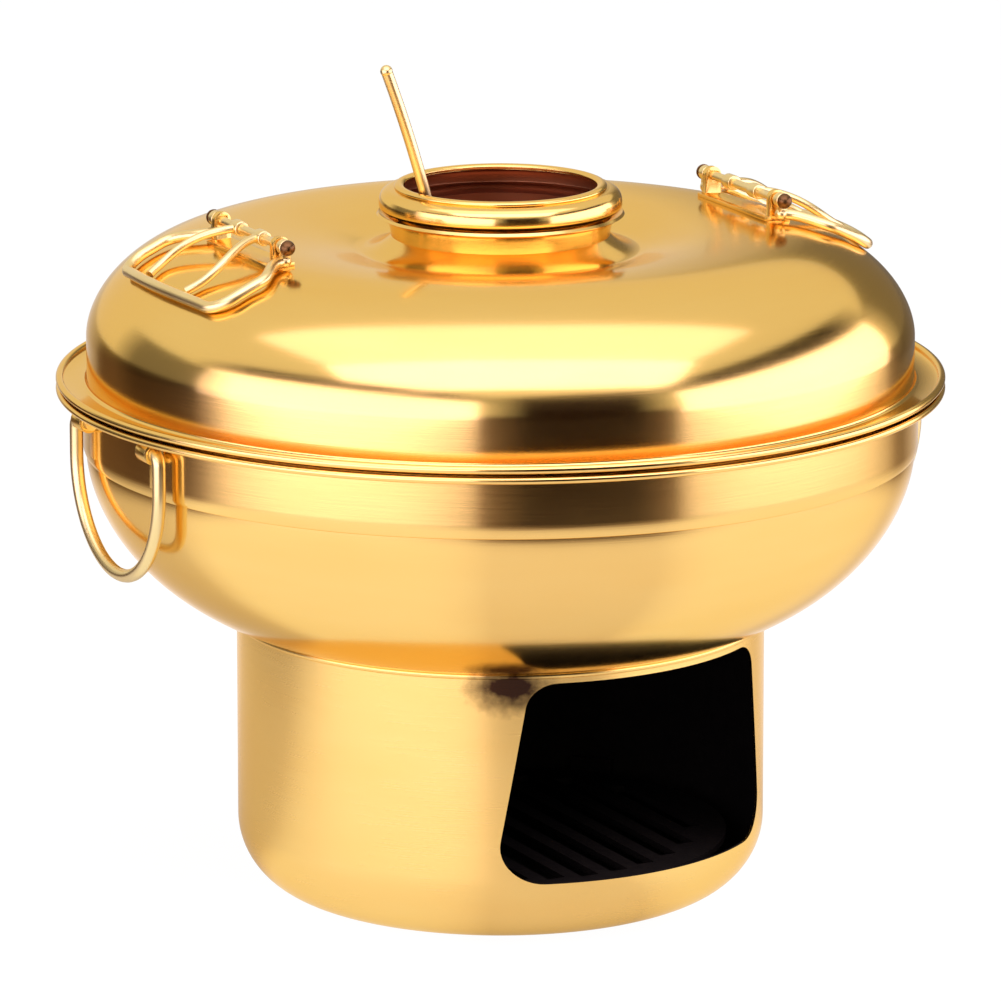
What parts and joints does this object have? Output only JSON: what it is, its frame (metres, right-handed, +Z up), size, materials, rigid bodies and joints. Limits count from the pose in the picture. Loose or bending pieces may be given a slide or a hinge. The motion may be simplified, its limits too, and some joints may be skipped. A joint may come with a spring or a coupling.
{
  "type": "chimney hot pot",
  "caption": "Metal hot pot with a charcoal base, a ring-shaped bowl round a flue, a lift-off domed lid with folding handles and a snuffer cap.",
  "frame": {"origin": "centre of the base's foot, on the ground", "axes": "+Z up; the four handles lie on the X axis, left ones at -X; the stoke window faces -Y, turned 12 degrees towards +X"},
  "size_m": [0.2798, 0.2798, 0.2681],
  "materials": {
    "polished_brass": "polished, fine round brushing",
    "heat_darkened_brass": "polished and browned by heat",
    "grate_iron": "plain, matt"
  },
  "bodies": {
    "stove_base": {"base_can": "polished_brass", "fire_grate": "grate_iron", "grate_brackets": "grate_iron"},
    "pot": {"bowl": "polished_brass", "flue_cone": "polished_brass", "chimney_tube": "heat_darkened_brass", "left_ears": "polished_brass", "right_ears": "polished_brass"},
    "pot_handle_left": {"left_pot_handle": "polished_brass"},
    "pot_handle_right": {"right_pot_handle": "polished_brass"},
    "lid": {"lid_shell": "polished_brass", "lid_ring": "polished_brass", "lid_neck": "polished_brass", "left_lid_bracket": "polished_brass", "right_lid_bracket": "polished_brass", "left_hinge_pin": "polished_brass", "right_hinge_pin": "polished_brass"},
    "lid_handle_left": {"left_lid_handle": "polished_brass", "left_handle_bows": "polished_brass"},
    "lid_handle_right": {"right_lid_handle": "polished_brass", "right_handle_bows": "polished_brass"},
    "snuffer": {"snuffer_cup": "polished_brass", "snuffer_rod": "polished_brass", "rod_pad": "polished_brass"}
  },
  "joints": [
    {"name": "pot_lift", "type": "slide", "parent": "stove_base", "child": "pot", "axis": [0, 0, 1], "range_m": [0, 0.12]},
    {"name": "pot_handle_left_swing", "type": "hinge", "parent": "pot", "child": "pot_handle_left", "pos_m": [-0.1315, 0, 0.1584], "axis": [0, 1, 0], "range_deg": [-5, 95]},
    {"name": "pot_handle_right_swing", "type": "hinge", "parent": "pot", "child": "pot_handle_right", "pos_m": [0.1315, 0, 0.1584], "axis": [0, -1, 0], "range_deg": [-5, 95]},
    {"name": "lid_lift", "type": "slide", "parent": "pot", "child": "lid", "axis": [0, 0, 1], "range_m": [0, 0.12]},
    {"name": "lid_handle_left_fold", "type": "hinge", "parent": "lid", "child": "lid_handle_left", "pos_m": [-0.086, 0, 0.21845], "axis": [0, 1, 0], "range_deg": [0, 100]},
    {"name": "lid_handle_right_fold", "type": "hinge", "parent": "lid", "child": "lid_handle_right", "pos_m": [0.086, 0, 0.21845], "axis": [0, -1, 0], "range_deg": [0, 100]},
    {"name": "snuffer_lift", "type": "slide", "parent": "lid", "child": "snuffer", "axis": [0, 0, 1], "range_m": [0, 0.08]}
  ]
}
